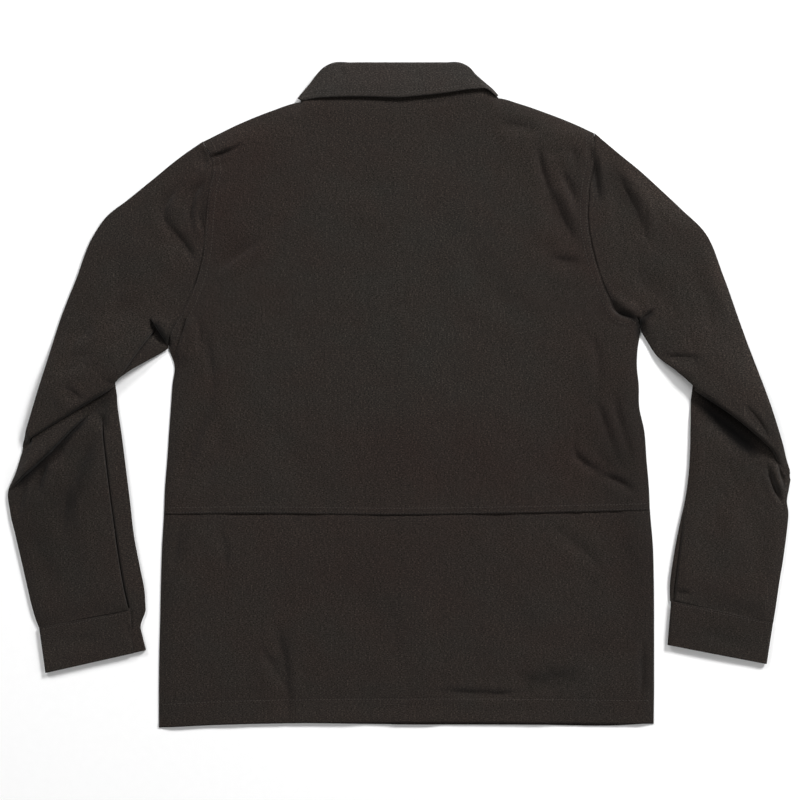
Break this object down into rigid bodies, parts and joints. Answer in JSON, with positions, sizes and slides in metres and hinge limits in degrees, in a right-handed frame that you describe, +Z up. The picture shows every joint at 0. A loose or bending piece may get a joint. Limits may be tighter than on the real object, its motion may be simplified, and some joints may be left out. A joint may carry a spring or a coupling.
{
  "type": "chore jacket",
  "caption": "Dark canvas chore jacket laid flat on its front, with a turned-down collar, a waist seam across the back, bent sleeves and band cuffs.",
  "frame": {"origin": "on the surface that the jacket lies on, under the middle of its outline", "axes": "+Z up, out of the back of the jacket; +Y from the hem towards the collar; +X towards the jacket's right sleeve"},
  "size_m": [0.899, 0.7638, 0.0128],
  "materials": {
    "body_canvas": "matte",
    "sleeve_canvas": "matte",
    "cuff_canvas": "matte",
    "collar_canvas": "matte",
    "button": "satin"
  },
  "bodies": {
    "root": {"back_upper": "body_canvas", "back_lower": "body_canvas", "front_left": "body_canvas", "front_right": "body_canvas", "sleeve_left": "sleeve_canvas", "sleeve_right": "sleeve_canvas", "cuff_left": "cuff_canvas", "cuff_right": "cuff_canvas", "collar": "collar_canvas", "collar_front_left": "collar_canvas", "collar_front_right": "collar_canvas", "button_1": "button", "button_2": "button", "button_3": "button", "button_4": "button", "button_5": "button"}
  },
  "joints": []
}
